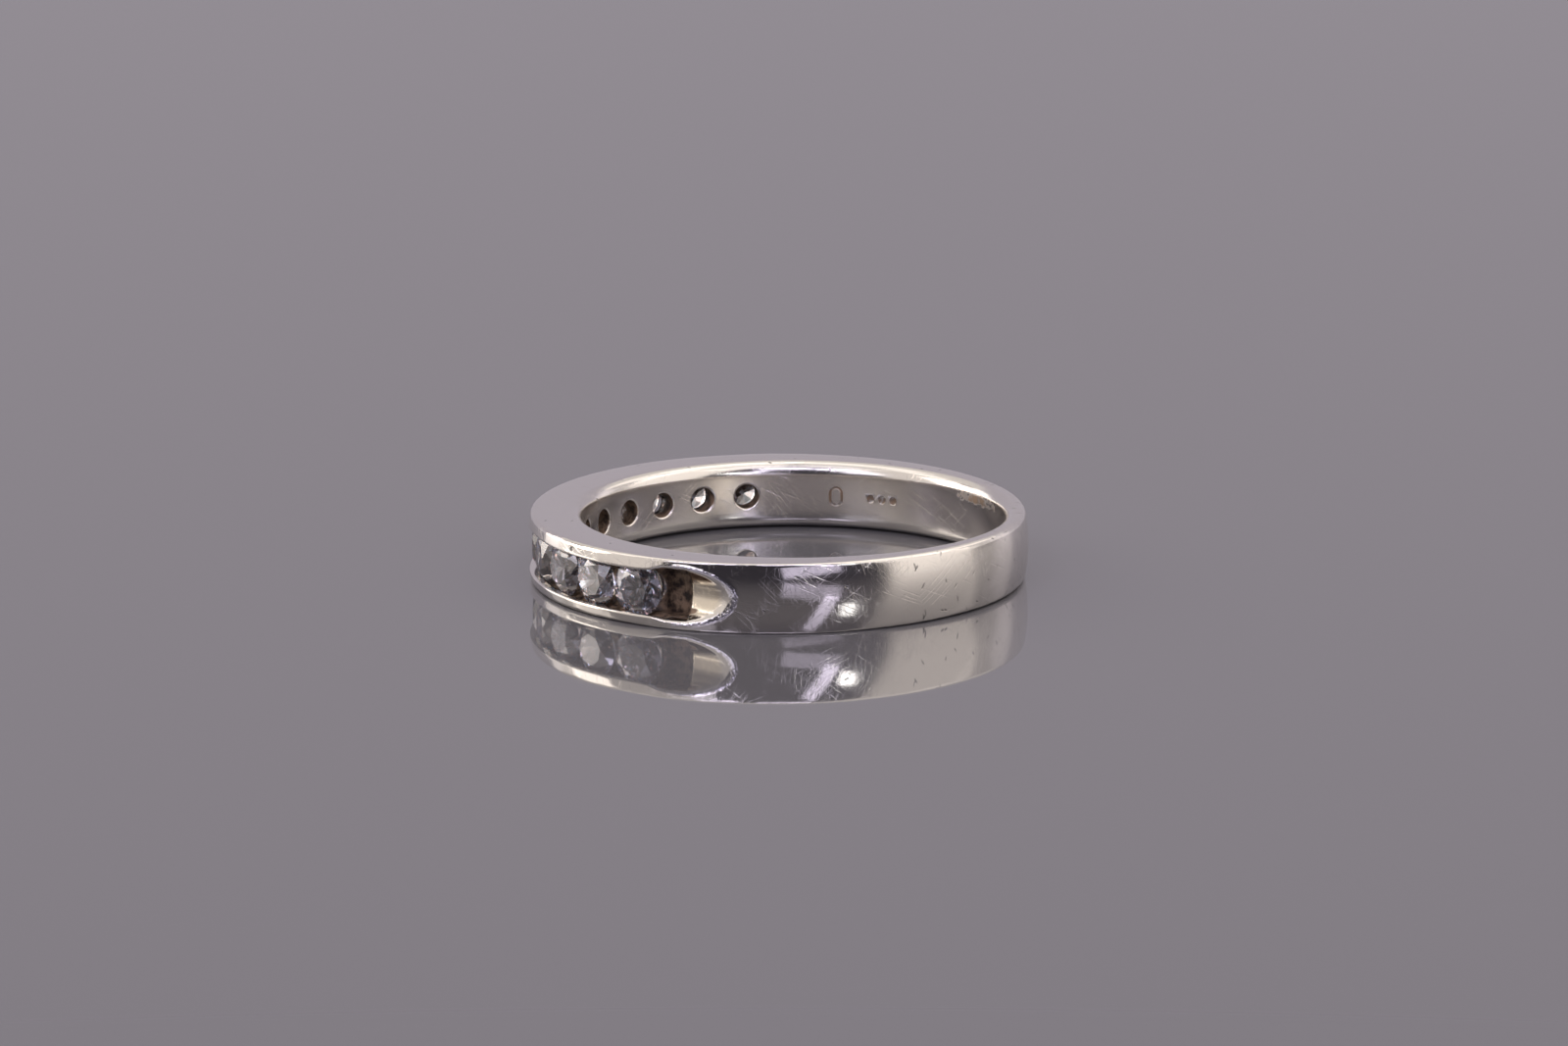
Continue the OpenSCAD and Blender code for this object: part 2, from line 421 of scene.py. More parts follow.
def lathed(name, outline, sides):
    """A closed round cutter. Its outline has a radius and a distance from the bore's axis at each point."""
    points, faces = [], []
    turn = [2 * math.pi * k / sides for k in range(sides)]
    for radius, out in outline:
        points += [(radius * math.sin(a), -out, radius * math.cos(a)) for a in turn]
    for i in range(len(outline) - 1):
        for k in range(sides):
            n = (k + 1) % sides
            faces.append((i * sides + k, i * sides + n, (i + 1) * sides + n, (i + 1) * sides + k))
    faces.append(tuple(range(sides)))
    faces.append(tuple(reversed(range((len(outline) - 1) * sides, len(outline) * sides))))
    made = mesh_object(name, points, faces)
    set_outwards(made)
    return made


def azure_drill():
    """Drill for the holes under the stones, flared to a rounded lip at the bore."""
    sides, bends = 48, 6
    before, under, past_floor = 0.5, 0.05, 0.3
    wide = AZURE_R + AZURE_LIP
    outline = [(wide, BORE_R - before), (wide, BORE_R - under)]
    for k in range(bends + 1):
        a = math.pi / 2 * k / bends
        outline.append((wide - AZURE_LIP * math.sin(a), BORE_R + AZURE_LIP * (1 - math.cos(a))))
    outline.append((AZURE_R, FLOOR_R + past_floor))
    return lathed("azure_drill", outline, sides)


def nose_radius(half):
    """Radius of a round nose that leaves a mark of the marks' depth and a given half width."""
    return (half**2 + MARK_DEPTH**2) / (2 * MARK_DEPTH)


def dot_punch():
    """Round-nosed punch for the three plain dots inside the band."""
    sides, bends = 32, 12
    before, flank = 0.2, 0.05
    nose = nose_radius(DOT_R)
    centre = BORE_R + MARK_DEPTH - nose
    outline = []
    for k in range(bends + 1):
        a = math.asin((DOT_R + flank) / nose) * (1 - k / (bends + 0.5))
        outline.append((nose * math.sin(a), centre + nose * math.cos(a)))
    outline.insert(0, (outline[0][0], BORE_R - before))
    return lathed("dot_punch", outline, sides)


def oval_punch():
    """Punch for the plain oval line: a round bar bent to a long hole's outline."""
    steps, sides = 24, 12
    high, wide = OVAL_HEIGHT - OVAL_LINE, OVAL_WIDTH - OVAL_LINE
    bar = nose_radius(OVAL_LINE / 2)
    path = []
    for end in (1, -1):
        for k in range(steps + 1):
            a = math.pi * k / steps - end * math.pi / 2
            path.append((wide / 2 * math.sin(a), end * (high - wide) / 2 + wide / 2 * math.cos(a)))
    points = []
    for i, (x, z) in enumerate(path):
        before, after = Vector(path[i - 1]), Vector(path[(i + 1) % len(path)])
        along = (after - before).normalized()
        side = Vector((along.y, -along.x))
        for k in range(sides):
            a = 2 * math.pi * k / sides
            out = math.sqrt(BORE_R**2 - x**2) + MARK_DEPTH - bar + bar * math.sin(a)
            points.append((x + side.x * bar * math.cos(a), -out, z + side.y * bar * math.cos(a)))
    made = mesh_object("oval_punch", points, woven(len(path), sides))
    set_outwards(made)
    return made


# Node trees

class Value:
    """A number on a surface, taken from a socket. Arithmetic on it adds Math nodes."""

    def __init__(self, paint, socket):
        self.paint, self.socket = paint, socket

    def __add__(self, other):
        return self.paint.math("ADD", self, other)

    def __sub__(self, other):
        return self.paint.math("SUBTRACT", self, other)

    def __rsub__(self, other):
        return self.paint.math("SUBTRACT", other, self)

    def __mul__(self, other):
        return self.paint.math("MULTIPLY", self, other)

    __radd__, __rmul__ = __add__, __mul__


class Tree:
    """A node tree that is written as calls: each adds a node, sets it up and links or fills its sockets."""

    def __init__(self, tree):
        self.tree = tree

    def node(self, kind, settings=None, inputs=None):
        made = self.tree.nodes.new(kind)
        for key, value in (settings or {}).items():
            setattr(made, key, value)
        for key, value in (inputs or {}).items():
            value = value.socket if isinstance(value, Value) else value
            if isinstance(value, bpy.types.NodeSocket):
                self.tree.links.new(value, made.inputs[key])
            else:
                made.inputs[key].default_value = value
        return made


def geometry_tree(name, inputs):
    """A new tree with named inputs, and the node that gives them."""
    group = bpy.data.node_groups.new(name, "GeometryNodeTree")
    group.interface.new_socket("Geometry", in_out="INPUT", socket_type="NodeSocketGeometry")
    for label, kind in inputs:
        group.interface.new_socket(label, in_out="INPUT", socket_type=kind)
    group.interface.new_socket("Geometry", in_out="OUTPUT", socket_type="NodeSocketGeometry")
    tree = Tree(group)
    return group, tree, tree.node("NodeGroupInput")


def row_cutter_tree():
    """Cuts a row of like holes: the cutter is repeated round the bore, by one step of angle each."""
    group, tree, given = geometry_tree("Row of holes", [
        ("Cutter", "NodeSocketObject"), ("Count", "NodeSocketInt"),
        ("First angle", "NodeSocketFloat"), ("Step", "NodeSocketFloat"),
        ("Material", "NodeSocketMaterial"),
    ])
    cutter = tree.node("GeometryNodeObjectInfo", {"transform_space": "ORIGINAL"},
                       {"Object": given.outputs["Cutter"]})
    places = tree.node("GeometryNodePoints", {}, {"Count": given.outputs["Count"]})
    index = tree.node("GeometryNodeInputIndex")
    turn = tree.node("ShaderNodeMath", {"operation": "MULTIPLY_ADD"}, {
        0: index.outputs[0], 1: given.outputs["Step"], 2: given.outputs["First angle"]})
    rotation = tree.node("ShaderNodeCombineXYZ", {}, {"Z": turn.outputs[0]})
    row = tree.node("GeometryNodeInstanceOnPoints", {}, {
        "Points": places.outputs[0], "Instance": cutter.outputs["Geometry"],
        "Rotation": rotation.outputs[0]})
    solid = tree.node("GeometryNodeRealizeInstances", {}, {"Geometry": row.outputs[0]})
    cut = tree.node("GeometryNodeMeshBoolean", {"operation": "DIFFERENCE", "solver": "MANIFOLD"}, {
        0: given.outputs["Geometry"], 1: solid.outputs[0]})
    painted = tree.node("GeometryNodeSetMaterial", {}, {
        "Geometry": cut.outputs[0], "Material": given.outputs["Material"]})
    tree.node("NodeGroupOutput", {}, {"Geometry": painted.outputs[0]})
    return group


def set_inputs(modifier, values):
    """Sets a modifier's inputs, given by their labels, through their identifiers."""
    for item in modifier.node_group.interface.items_tree:
        if item.in_out == "INPUT" and item.name in values:
            modifier[item.identifier] = values[item.name]


def make_plain(piece):
    """Works a piece's modifiers out into a plain mesh."""
    view = bpy.context.evaluated_depsgraph_get()
    mesh = bpy.data.meshes.new_from_object(piece.evaluated_get(view))
    piece.modifiers.clear()
    piece.data = mesh


def cut_rows(band, material):
    """Cuts the drilled holes and the marks into the band, and sets its material."""
    group = row_cutter_tree()
    rows = [
        (azure_drill(), len(STONES), -LAST_STONE, STONE_STEP),
        (dot_punch(), 3, FIRST_DOT, DOT_STEP),
        (oval_punch(), 1, OVAL_ANGLE, 0.0),
    ]
    for cutter, count, first, step in rows:
        modifier = band.modifiers.new(cutter.name, "NODES")
        modifier.node_group = group
        set_inputs(modifier, {"Cutter": cutter, "Count": count, "First angle": first, "Step": step,
                              "Material": material})
        make_plain(band)
        bpy.data.objects.remove(cutter)
    return band


# The cut stones

def brilliant(place):
    """A round brilliant, cut from a round blank one plane after another. Height 0 is its girdle's top."""
    sides = 64
    table_share, star_share, lower_share, culet_r = 0.57, 0.5, 0.23, 0.03
    radius = place.radius
    crown = place.table - place.girdle_top
    girdle = place.girdle_top - place.girdle_low
    depth = place.girdle_low - place.point
    table_r = table_share * radius
    crown_slope = crown / (radius - table_r)
    pavilion_slope = depth / (radius - culet_r)
    half = math.pi / 8
    star_r = table_r * math.cos(half) + star_share * (radius - table_r * math.cos(half))
    star_z = crown - (star_r * math.cos(half) - table_r) * crown_slope
    lower_r = lower_share * radius
    lower_z = -girdle - (radius - lower_r * math.cos(half)) * pavilion_slope

    def at(r, z, eighths):
        a = eighths * math.pi / 4
        return Vector((r * math.cos(a), r * math.sin(a), z))

    planes = [(Vector((0, 0, crown)), Vector((0, 0, 1))), (Vector((0, 0, -girdle - depth)), Vector((0, 0, -1)))]
    for k in range(8):
        planes.append((at(radius, 0, k), at(crown_slope, 1, k)))
        planes.append(through(at(table_r, crown, k), at(table_r, crown, k + 1), at(star_r, star_z, k + 0.5)))
        planes.append((at(radius, -girdle, k), at(pavilion_slope, -1, k)))
        for near in (k, k + 1):
            planes.append(through(at(radius, 0, near), at(radius, 0, k + 0.5), at(star_r, star_z, k + 0.5)))
            planes.append(through(at(radius, -girdle, near), at(radius, -girdle, k + 0.5),
                                  at(lower_r, lower_z, k + 0.5)))
    stone = bmesh.new()
    bmesh.ops.create_cone(stone, cap_ends=True, segments=sides, radius1=radius, radius2=radius, depth=4 * radius)
    for point, outward in planes:
        every = stone.verts[:] + stone.edges[:] + stone.faces[:]
        bmesh.ops.bisect_plane(stone, geom=every, dist=1e-5, plane_co=point, plane_no=outward, clear_outer=True)
        loose = [e for e in stone.edges if not e.link_faces]
        bmesh.ops.delete(stone, geom=loose, context="EDGES")
        opened = [e for e in stone.edges if len(e.link_faces) == 1]
        if opened:
            bmesh.ops.holes_fill(stone, edges=opened, sides=0)
    bmesh.ops.recalc_face_normals(stone, faces=stone.faces)
    return stone


def through(a, b, c):
    """A plane through three points, facing away from the stone's axis."""
    normal = (b - a).cross(c - a).normalized()
    outward = Vector((a.x + b.x, a.y + b.y, 0))
    return a, normal if normal.dot(outward) > 0 else -normal


def store_film(mesh, place):
    """Marks how dirty each facet is: the back is, save for the point, and the front hardly."""
    turned_in, at_point, at_girdle = -0.2, 0.05, 0.01
    outward = np.array(polar(place.angle, 1.0))
    middles, normals = np.empty(len(mesh.polygons) * 3), np.empty(len(mesh.polygons) * 3)
    mesh.polygons.foreach_get("center", middles)
    mesh.polygons.foreach_get("normal", normals)
    height = middles.reshape(-1, 3) / MM @ outward
    facing_in = normals.reshape(-1, 3) @ outward < turned_in
    film = facing_in & (height > place.point + at_point)
    frost = (height < place.girdle_top + at_girdle) & (height > place.girdle_low - at_girdle)
    for kind, values in (("film", film), ("frost", frost)):
        layer = mesh.attributes.new(kind, "FLOAT", "FACE")
        layer.data.foreach_set("value", values.astype(np.float32))


# How far some stones lean in their seats, in degrees, towards the next higher number
LEANS = {"stone_11": 3.5, "stone_10": 1.5, "stone_09": 3.0, "stone_07": -2.0, "stone_04": 2.5, "stone_02": -3.0}


def set_stones(material):
    """Makes the stones and seats each in its place, with its facets turned by its own angle."""
    for i, name in enumerate(STONES):
        place = PLACES[name]
        cut = brilliant(place)
        turn = Matrix.Rotation((i + 1) * math.radians(17), 4, "Z")
        upright = Matrix.Rotation(math.pi / 2, 4, "X")
        lean = Matrix.Rotation(math.radians(LEANS.get(name, 0.0)), 4, "Z")
        seat = Matrix.Rotation(place.angle, 4, "Z") @ Matrix.Translation((0, -place.girdle_top - STONE_RISE, 0))
        cut.transform(Matrix.Scale(MM, 4) @ seat @ lean @ upright @ turn)
        mesh = bpy.data.meshes.new(name + "_cut")
        cut.to_mesh(mesh)
        cut.free()
        mesh.materials.append(material)
        store_film(mesh, place)
        piece = bpy.data.objects.new(name + "_cut", mesh)
        bpy.context.scene.collection.objects.link(piece)
        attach(piece, "root")
        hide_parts(name)


# Materials

class Paint(Tree):
    """A material's node tree."""

    def __init__(self, name):
        self.material = bpy.data.materials.new(name)
        self.material.use_nodes = True
        super().__init__(self.material.node_tree)
        self.tree.nodes.clear()

    def math(self, operation, *values):
        made = self.node("ShaderNodeMath", {"operation": operation}, dict(enumerate(values)))
        return Value(self, made.outputs[0])

    def between(self, value, low, high):
        """0 below low, 1 above high, and eased between them."""
        made = self.node("ShaderNodeMapRange", {"interpolation_type": "SMOOTHSTEP"},
                         {"Value": value, "From Min": low, "From Max": high})
        return Value(self, made.outputs["Result"])

    def attribute(self, name):
        made = self.node("ShaderNodeAttribute", {"attribute_name": name})
        return Value(self, made.outputs["Fac"])

    def place(self, scale, turn=0.0):
        """A place scaled to a pattern's features to a millimetre: on the unrolled surface, or in space."""
        if len(scale) == 2:
            here = self.node("ShaderNodeUVMap", {"uv_map": "unrolled"}).outputs[0]
            scale = (scale[0], scale[1], 1.0)
        else:
            here = self.node("ShaderNodeTexCoord").outputs["Object"]
            scale = [s / MM for s in scale]
        turned = self.node("ShaderNodeMapping", {"vector_type": "POINT"}, {
            "Vector": here, "Rotation": (0.0, 0.0, math.radians(turn))})
        scaled = self.node("ShaderNodeMapping", {"vector_type": "POINT"}, {
            "Vector": turned.outputs[0], "Scale": scale})
        return scaled.outputs[0]

    def noise(self, scale, detail=3.0, roughness=0.5, distortion=0.0, turn=0.0):
        made = self.node("ShaderNodeTexNoise", {}, {
            "Vector": self.place(scale, turn), "Scale": 1.0, "Detail": detail, "Roughness": roughness,
            "Distortion": distortion})
        return Value(self, made.outputs["Fac"])

    def from_axis(self):
        """Distance from the bore's axis, in millimetres."""
        here = self.node("ShaderNodeTexCoord").outputs["Object"]
        level = self.node("ShaderNodeVectorMath", {"operation": "MULTIPLY"}, {0: here, 1: (1 / MM, 1 / MM, 0.0)})
        made = self.node("ShaderNodeVectorMath", {"operation": "LENGTH"}, {0: level.outputs[0]})
        return Value(self, made.outputs["Value"])

    def cells(self, scale, turn=0.0):
        """Distance from the nearest of the pattern's scattered points."""
        made = self.node("ShaderNodeTexVoronoi", {"feature": "F1"}, {
            "Vector": self.place(scale, turn), "Scale": 1.0, "Randomness": 1.0})
        return Value(self, made.outputs["Distance"])

    def colour_mix(self, share, first, second):
        made = self.node("ShaderNodeMix", {"data_type": "RGBA"}, {0: share, 6: first, 7: second})
        return made.outputs[2]

    def finish(self, shader):
        self.node("ShaderNodeOutputMaterial", {}, {"Surface": shader.outputs[0]})
        return self.material


def scratches(paint, turn, seed, fine):
    """Thin lines of uneven length along one direction: 1 on a line, 0 off it."""
    lines = paint.noise((0.3 + 0.08 * seed, fine), detail=0.0, turn=turn)
    return paint.between(lines, 0.675, 0.73)


def marks(paint, scale, turn, core, edge):
    """Scattered spots or short strokes: 1 inside the core, 0 outside the edge."""
    return 1 - paint.between(paint.cells(scale, turn), core, edge)


# Colours of surfaces
METAL = (0.79, 0.755, 0.715, 1)
# Warm gold for the scoops' hollows: a painted reflection
HOLLOW_PAINTED_REFLECTION = (0.76, 0.69, 0.58, 1)
# Lilac-white for the scoops' rims: a painted highlight
RIM_PAINTED_HIGHLIGHT = (0.93, 0.9, 1.0, 1)
# Dark metal for the nicks: painted shade
NICK_PAINTED_SHADE = (0.2, 0.19, 0.18, 1)
# Near-black brown: dirt, and painted shade in the channel and the drilled holes
DARK_DIRT_AND_SHADE = (0.03, 0.02, 0.016, 1)
PALE_DIRT = (0.3, 0.21, 0.14, 1)
STONE_WARM = (0.625, 0.493, 0.435, 1)
STONE_COOL = (0.37, 0.49, 0.565, 1)
STONE_FILM = (0.5, 0.48, 0.52, 1)
STONE_FROST = (0.86, 0.84, 0.9, 1)
BOARD = (0.12, 0.118, 0.127, 1)


def white_gold():
    """Polished white gold, slightly warm, with fine scratches, small nicks darkened with painted shade, brown
    dirt with painted shade in the channel, a painted lilac-white highlight on the scoops' rims and a painted gold
    reflection in their hollows.
    """
    paint = Paint("white_gold")
    soil = paint.attribute("soil")
    rim = paint.attribute("rim")
    worn = paint.attribute("worn")
    hollow = paint.attribute("hollow")
    mottled = paint.noise((2.6, 2.6, 2.6), 5.0, 0.65)
    dirt_and_shade = paint.between(soil + (mottled - 0.5) * 0.9, 0.34, 0.58)
    patches = paint.between(paint.noise((0.4, 0.4, 0.5), 2.0) + worn * 0.2, 0.45, 0.65)
    brush_round = paint.noise((0.5, 16.0), 3.0, 0.6)
    brush_across = paint.noise((16.0, 0.6), 3.0, 0.6)
    grain = brush_round * (1 - patches) + brush_across * patches
    deep = scratches(paint, 24, 1, 11.0) + scratches(paint, -38, 2, 13.0) + scratches(paint, 71, 3, 12.0)
    fine = scratches(paint, 97, 4, 19.0) + scratches(paint, 48, 1, 23.0) + scratches(paint, 82, 2, 17.0)
    crowded = paint.between(paint.noise((0.7, 0.9), 2.0), 0.42, 0.62) * 0.8 + 0.2
    deep, fine = deep * crowded, fine * crowded
    nicks = marks(paint, (0.8, 1.7), 30, 0.05, 0.09)
    here_and_there = paint.between(paint.noise((1.3, 1.3), 0.0), 0.5, 0.56) * (worn * 0.85 + 0.15)
    small_nicks = (marks(paint, (3.4, 0.9), 32, 0.1, 0.17) * here_and_there
                   + marks(paint, (0.8, 3.0), 74, 0.09, 0.15) * here_and_there)
    rim_nicks = paint.between(paint.noise((2.6, 2.6, 2.6), 3.0, 0.65), 0.44, 0.6) * rim
    # The hollows of the scoops take a painted gold reflection
    metal = paint.colour_mix(hollow, METAL, HOLLOW_PAINTED_REFLECTION)
    # The scoops' rims take a painted lilac-white highlight
    metal = paint.colour_mix(rim, metal, RIM_PAINTED_HIGHLIGHT)
    # The nicks are darkened with painted shade
    metal = paint.colour_mix(nicks * 0.75 + small_nicks * 0.6, metal, NICK_PAINTED_SHADE)
    # Brown dirt in the channel, whose near-black part is also painted shade
    brown = paint.colour_mix(paint.between(mottled, 0.36, 0.62), DARK_DIRT_AND_SHADE, PALE_DIRT)
    colour = paint.colour_mix(dirt_and_shade, metal, brown)
    in_bore = 1 - paint.between(paint.from_axis(), BORE_R + 0.1, BORE_R + 0.45)
    rough = 0.07 + (grain - 0.5) * 0.1 + worn * 0.12 + rim * 0.06 + hollow * 0.09 + in_bore * 0.11 + dirt_and_shade * 0.35
    # Heights in units of the bump's distance
    height = ((grain - 0.5) * 0.4 - deep * 0.62 - fine * 0.4 - nicks * 2.0 - small_nicks * 1.8 - rim_nicks * 4.0
              + dirt_and_shade * mottled * 3.0)
    bump = paint.node("ShaderNodeBump", {}, {"Strength": 0.5, "Distance": 0.006 * MM, "Height": height})
    shader = paint.node("ShaderNodeBsdfPrincipled", {}, {
        "Base Color": colour, "Metallic": 1 - dirt_and_shade * 0.75, "Roughness": rough, "Normal": bump.outputs[0]})
    return paint.finish(shader)


def diamond():
    """Clear cut stone with a frosted girdle, whose back carries a film of dirt, thickest in the drilled hole,
    where it is near black as painted shade.
    """
    warm_index, cool_index = 2.405, 2.43
    paint = Paint("diamond")
    film = paint.attribute("film")
    frost = paint.attribute("frost")
    mottled = paint.between(paint.noise((1.7, 1.7, 1.7), 3.0), 0.35, 0.65)
    in_hole = 1 - paint.between(paint.from_axis(), FLOOR_R + 0.34, FLOOR_R + 0.46)
    # Warm light is bent a little less than cool light, which gives the stone its fire
    warm = paint.node("ShaderNodeBsdfGlass", {}, {"Color": STONE_WARM, "Roughness": 0.0, "IOR": warm_index})
    cool = paint.node("ShaderNodeBsdfGlass", {}, {"Color": STONE_COOL, "Roughness": 0.0, "IOR": cool_index})
    clear = paint.node("ShaderNodeAddShader", {}, {0: warm.outputs[0], 1: cool.outputs[0]})
    # In the drilled hole the film turns near black: dirt and painted shade
    grime_and_shade = paint.colour_mix(in_hole, STONE_FILM, DARK_DIRT_AND_SHADE)
    dull = paint.node("ShaderNodeBsdfPrincipled", {}, {
        "Base Color": paint.colour_mix(frost, grime_and_shade, STONE_FROST), "Roughness": 0.4})
    share = film * (0.01 + mottled * 0.02 + in_hole * 0.62) + frost * 0.25
    mixed = paint.node("ShaderNodeMixShader", {}, {0: share, 1: clear.outputs[0], 2: dull.outputs[0]})
    return paint.finish(mixed)


def floor_finish():
    """Plain grey polished board."""
    paint = Paint("floor_board")
    shader = paint.node("ShaderNodeBsdfPrincipled", {}, {
        "Base Color": BOARD, "Roughness": 0.03, "IOR": 1.9})
    return paint.finish(shader)


# Dirt, wear and painted light on the band

def smooth_with_edges(piece, degrees):
    mesh = piece.data
    mesh.polygons.foreach_set("use_smooth", [True] * len(mesh.polygons))
    mesh.set_sharp_from_angle(angle=math.radians(degrees))


def mark_surface(band):
    """Stores where dirt and painted shade go, where the painted rim highlight and hollow reflection go, and where
    the band is worn, for its material.
    """
    p = points_of(band)
    x, y, z = p[:, 0], p[:, 1], p[:, 2]
    turned = np.arctan2(x, -y)
    angle = np.abs(turned)
    radius = np.hypot(x, y)
    deep = -outer_field(x, y, z)
    near_cut = cut_field(x, y, z)
    # Packed dirt with painted shade in the channel and the drilled holes, stronger the deeper it lies below the
    # outer face; it runs on past the slot along the lower side, and is lighter under the stones
    from_stone = np.hypot((angle - nearest_stone(angle)) * radius, z)
    in_hole = (from_stone < AZURE_R + 0.04) & (radius > BORE_R + 0.04)
    in_slot = 1 - eased((angle - SLOT_END + math.radians(0.1)) / math.radians(0.5))
    low_side = eased((-z - 0.35) / 0.4) * (1 - eased((angle - past_last_stone(16.4)) / math.radians(5)))
    soil = ((near_cut < 0.03) | in_hole) * eased((deep - 0.2) / 0.35) * np.maximum(in_slot, low_side * 0.85)
    soil *= 1 - 0.7 * (1 - eased((from_stone - 0.7) / 0.2)) * (radius > FLOOR_R - 0.05)
    # Dirt in the marks, and a smear beside them
    in_mark = (angle > math.radians(80)) & (radius > BORE_R + 0.008) & (radius < BORE_R + 0.06)
    soil = np.maximum(soil, 0.55 * in_mark * (np.abs(z) < 0.8))
    smear_angle, smear_z = math.radians(-142), 0.8
    smeared = eased(1 - np.abs(turned - smear_angle) / math.radians(30)) * eased(1 - np.abs(z - smear_z) / 0.6)
    soil = np.maximum(soil, 0.6 * smeared * (radius < BORE_R + 0.3))
    # The burnished rim of the scoops, which carries a painted lilac-white highlight, the hollow of the scoops,
    # which carries a painted gold reflection, and the worn back of the band
    near_end = eased((angle - SCOOP_FROM) / math.radians(2))
    rim = near_end * (1 - eased(np.abs(near_cut - 0.1) / 0.09)) * (1 - eased((deep - 0.03) / 0.06))
    hollow = eased((0.1 - near_cut) / 0.1) * eased((deep - 0.1) / 0.2) * (1 - in_slot) * (radius > BORE_R + 0.2)
    worn = eased((angle - math.radians(110)) / math.radians(14)) * (radius > BORE_R + 0.3)
    for name, values in (("soil", soil), ("rim", rim), ("worn", worn), ("hollow", hollow)):
        layer = band.data.attributes.new(name, "FLOAT", "POINT")
        layer.data.foreach_set("value", values.astype(np.float32))


def unroll(band):
    """A map of the surface unrolled, in millimetres: round the ring, then along its section."""
    mesh = band.data
    p = points_of(band)
    count = len(mesh.polygons)
    corners = np.empty(len(mesh.loops), int)
    starts, sizes, normals = np.empty(count, int), np.empty(count, int), np.empty(count * 3)
    mesh.loops.foreach_get("vertex_index", corners)
    mesh.polygons.foreach_get("loop_start", starts)
    mesh.polygons.foreach_get("loop_total", sizes)
    mesh.polygons.foreach_get("normal", normals)
    normal = np.repeat(normals.reshape(-1, 3), sizes, axis=0)
    first = np.repeat(corners[starts], sizes)
    angle = np.arctan2(p[:, 0], -p[:, 1])
    # Each face's corners stay together, also where the angle jumps from one end of its range to the other
    turned = angle[corners] - angle[first]
    turned = angle[first] + (turned + math.pi) % (2 * math.pi) - math.pi
    radius = np.hypot(p[corners, 0], p[corners, 1])
    z = p[corners, 2]
    outward = (normal[:, 0] * np.sin(turned) - normal[:, 1] * np.cos(turned)) > 0
    flat = np.abs(normal[:, 2]) > 0.75
    # The bore and the flat faces get rows of their own, away from the outer face's
    bore_row, flat_row = 7.0, 3.5
    up_wall = np.where(outward, z, bore_row - z)
    on_flat = np.sign(normal[:, 2]) * (flat_row + HEAD_EDGE_R - radius)
    layer = mesh.uv_layers.new(name="unrolled")
    unrolled = np.stack([turned * (BORE_R + 1), np.where(flat, on_flat, up_wall)], axis=-1)
    layer.data.foreach_set("uv", unrolled.astype(np.float32).ravel())


gold = white_gold()
band = cut_rows(band_blank(), gold)
smooth_with_edges(band, 38)
mark_surface(band)
unroll(band)
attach(band, "root")
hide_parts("band")
set_stones(diamond())


# Floor, light and camera

# The camera's azimuth is counted like the band's angles. It aims at a point across and along its view.
VIEW_AZIMUTH = math.radians(102.0)
VIEW_RISE = math.radians(12.88)
VIEW_DISTANCE = 280.0
PICTURE_W = 1600
PIXELS_PER_MM = 24.5
AIM = (-0.38, 9.5)
SENSOR_W = 36.0

# Lights from all round: name, azimuth, rise, width and height in degrees, colour, brightness and roll
LILAC = (0.84, 0.78, 1.0)
PALE_LILAC = (0.92, 0.88, 1.0)
WARM = (1.0, 0.92, 0.86)
WARM_ABOVE = (1.0, 0.93, 0.87)
LIGHTS = [
    ("backdrop", 180, 14, 120, 44, (0.98, 0.9, 1.0), 0.43),
    ("right_wall", 77, 30, 52, 62, WARM, 1.1),
    ("right_far_wall", 118, 26, 34, 50, (1.0, 0.92, 0.88), 0.55),
    ("left_wall", -80, 30, 60, 62, WARM, 0.75),
    ("above_right", 95, 74, 60, 30, WARM_ABOVE, 0.85),
    ("above_left", -95, 74, 60, 30, WARM_ABOVE, 0.6),
    ("above_behind", 180, 60, 90, 50, WARM_ABOVE, 0.72),
    ("window", 6, 49, 20, 12, LILAC, 5.0),
    ("strip", 22, 23, 6, 25, LILAC, 3.2, 20),
    ("low_panel", 17, 8, 26, 10, LILAC, 0.75, 8),
    ("above_front", -4, 74, 46, 24, (0.94, 0.89, 1.0), 0.5),
    ("small_panel", -30, 44, 16, 10, LILAC, 8.0),
    ("low_window", -40, 26, 20, 22, PALE_LILAC, 1.6),
    ("left_behind", -122, 12, 24, 30, WARM_ABOVE, 1.5),
    ("left_low", -101, 20, 24, 34, (1.0, 0.92, 0.84), 3.2),
    ("lamp", 34, 21, 6, 8, (1.0, 1.0, 1.0), 9.0),
]


def towards(azimuth, rise):
    """The way to something seen from the ring at an azimuth and a rise."""
    return Vector((math.sin(azimuth) * math.cos(rise), -math.cos(azimuth) * math.cos(rise), math.sin(rise)))


def facing(location, target):
    return (target - location).to_track_quat("-Z", "Y")


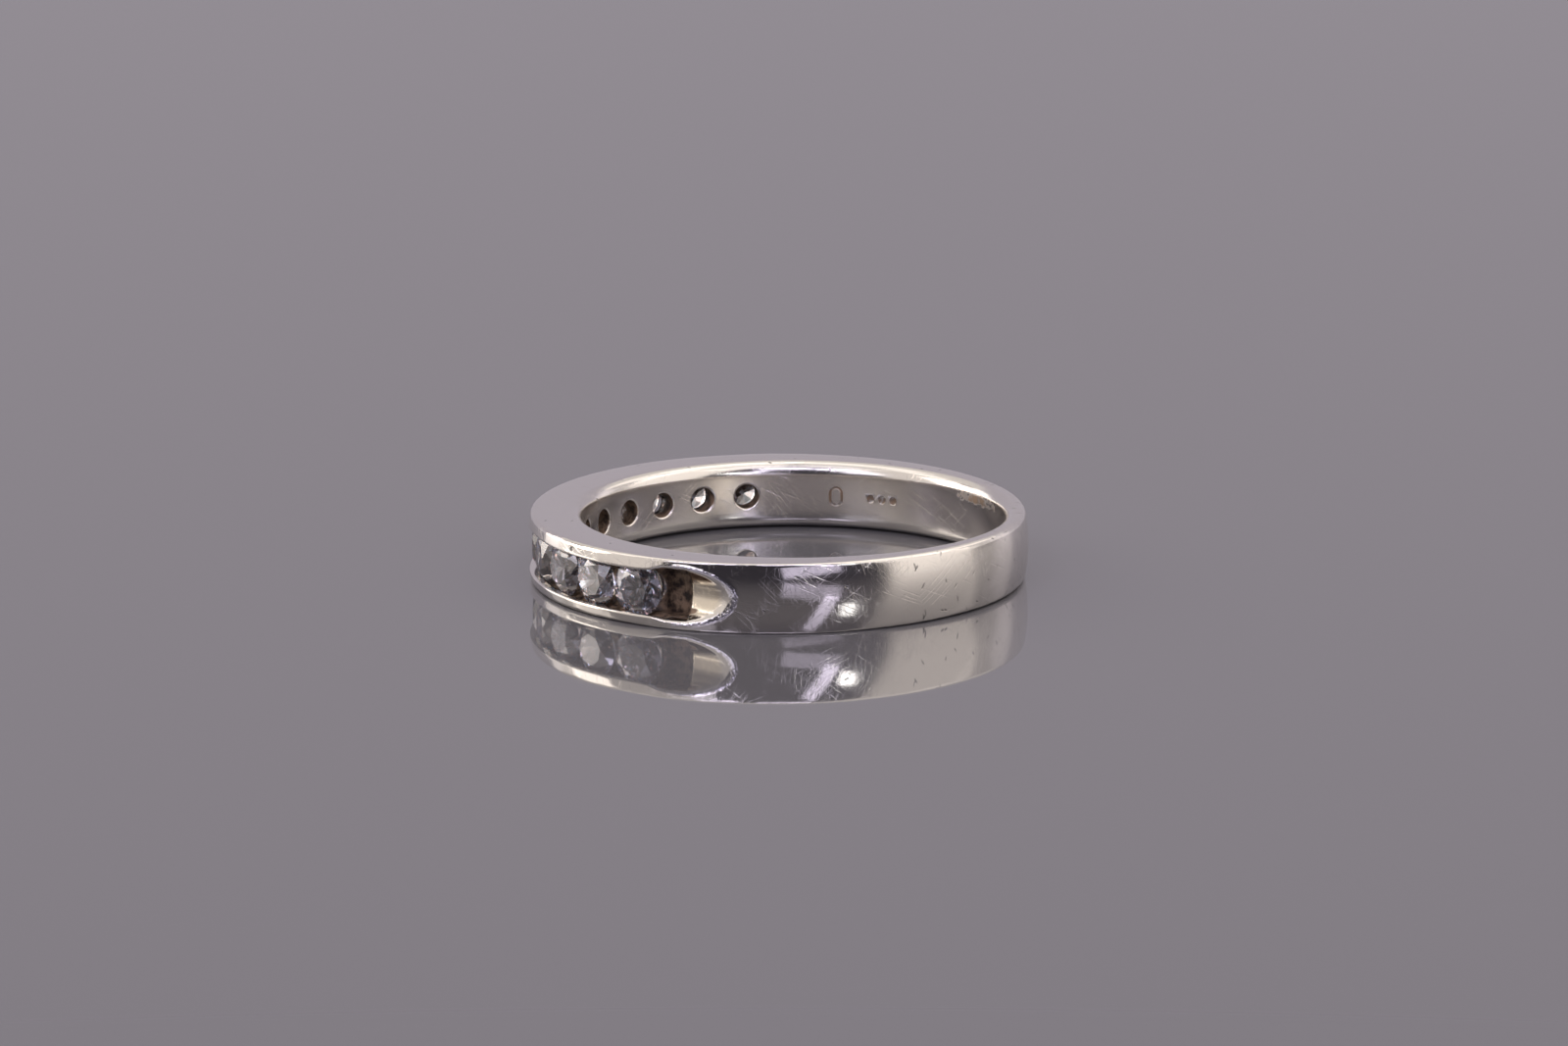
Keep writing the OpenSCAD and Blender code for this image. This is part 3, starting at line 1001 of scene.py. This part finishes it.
def add_camera():
    across = Vector((math.cos(VIEW_AZIMUTH), math.sin(VIEW_AZIMUTH), 0))
    along = Vector((-math.sin(VIEW_AZIMUTH), math.cos(VIEW_AZIMUTH), 0))
    aim = (across * AIM[0] + along * AIM[1] + Vector((0, 0, -HALF_W))) * MM
    lens = bpy.data.cameras.new("camera")
    lens.sensor_width = SENSOR_W
    lens.lens = PIXELS_PER_MM * VIEW_DISTANCE / PICTURE_W * SENSOR_W
    lens.clip_start = 0.001
    camera = bpy.data.objects.new("camera", lens)
    camera.location = aim + towards(VIEW_AZIMUTH, VIEW_RISE) * VIEW_DISTANCE * MM
    camera.rotation_euler = facing(camera.location, aim).to_euler()
    bpy.context.scene.collection.objects.link(camera)
    bpy.context.scene.camera = camera


def add_floor():
    reach = 3000.0
    corners = [(x * reach, y * reach, -HALF_W) for x, y in ((-1, -1), (1, -1), (1, 1), (-1, 1))]
    floor = mesh_object("floor", corners, [(0, 1, 2, 3)])
    floor.data.materials.append(floor_finish())


def soft_light(name, azimuth, rise, width, height, colour, brightness, roll=0.0):
    """A flat soft light that faces the ring. Its azimuth is counted from the camera, to the right."""
    distance = 0.6
    lamp = bpy.data.lights.new(name, "AREA")
    lamp.shape = "RECTANGLE"
    lamp.size = 2 * distance * math.tan(math.radians(width / 2))
    lamp.size_y = 2 * distance * math.tan(math.radians(height / 2))
    lamp.color = colour
    # The power that gives the light's face this brightness
    lamp.energy = brightness * math.pi * lamp.size * lamp.size_y
    made = bpy.data.objects.new(name, lamp)
    made.location = towards(VIEW_AZIMUTH + math.radians(azimuth), math.radians(rise)) * distance
    rolled = Matrix.Rotation(math.radians(roll), 3, "Z").to_quaternion()
    made.rotation_euler = (facing(made.location, Vector((0, 0, 0))) @ rolled).to_euler()
    bpy.context.scene.collection.objects.link(made)


def add_world():
    world = bpy.data.worlds.new("studio")
    world.use_nodes = True
    background = world.node_tree.nodes["Background"]
    background.inputs["Color"].default_value = (0.035, 0.032, 0.04, 1)
    bpy.context.scene.world = world


add_camera()
add_floor()
add_world()
for light in LIGHTS:
    soft_light(*light)

cycles = bpy.context.scene.cycles
cycles.max_bounces = 24
cycles.glossy_bounces = 16
cycles.transmission_bounces = 16
bpy.context.scene.view_settings.view_transform = "Standard"
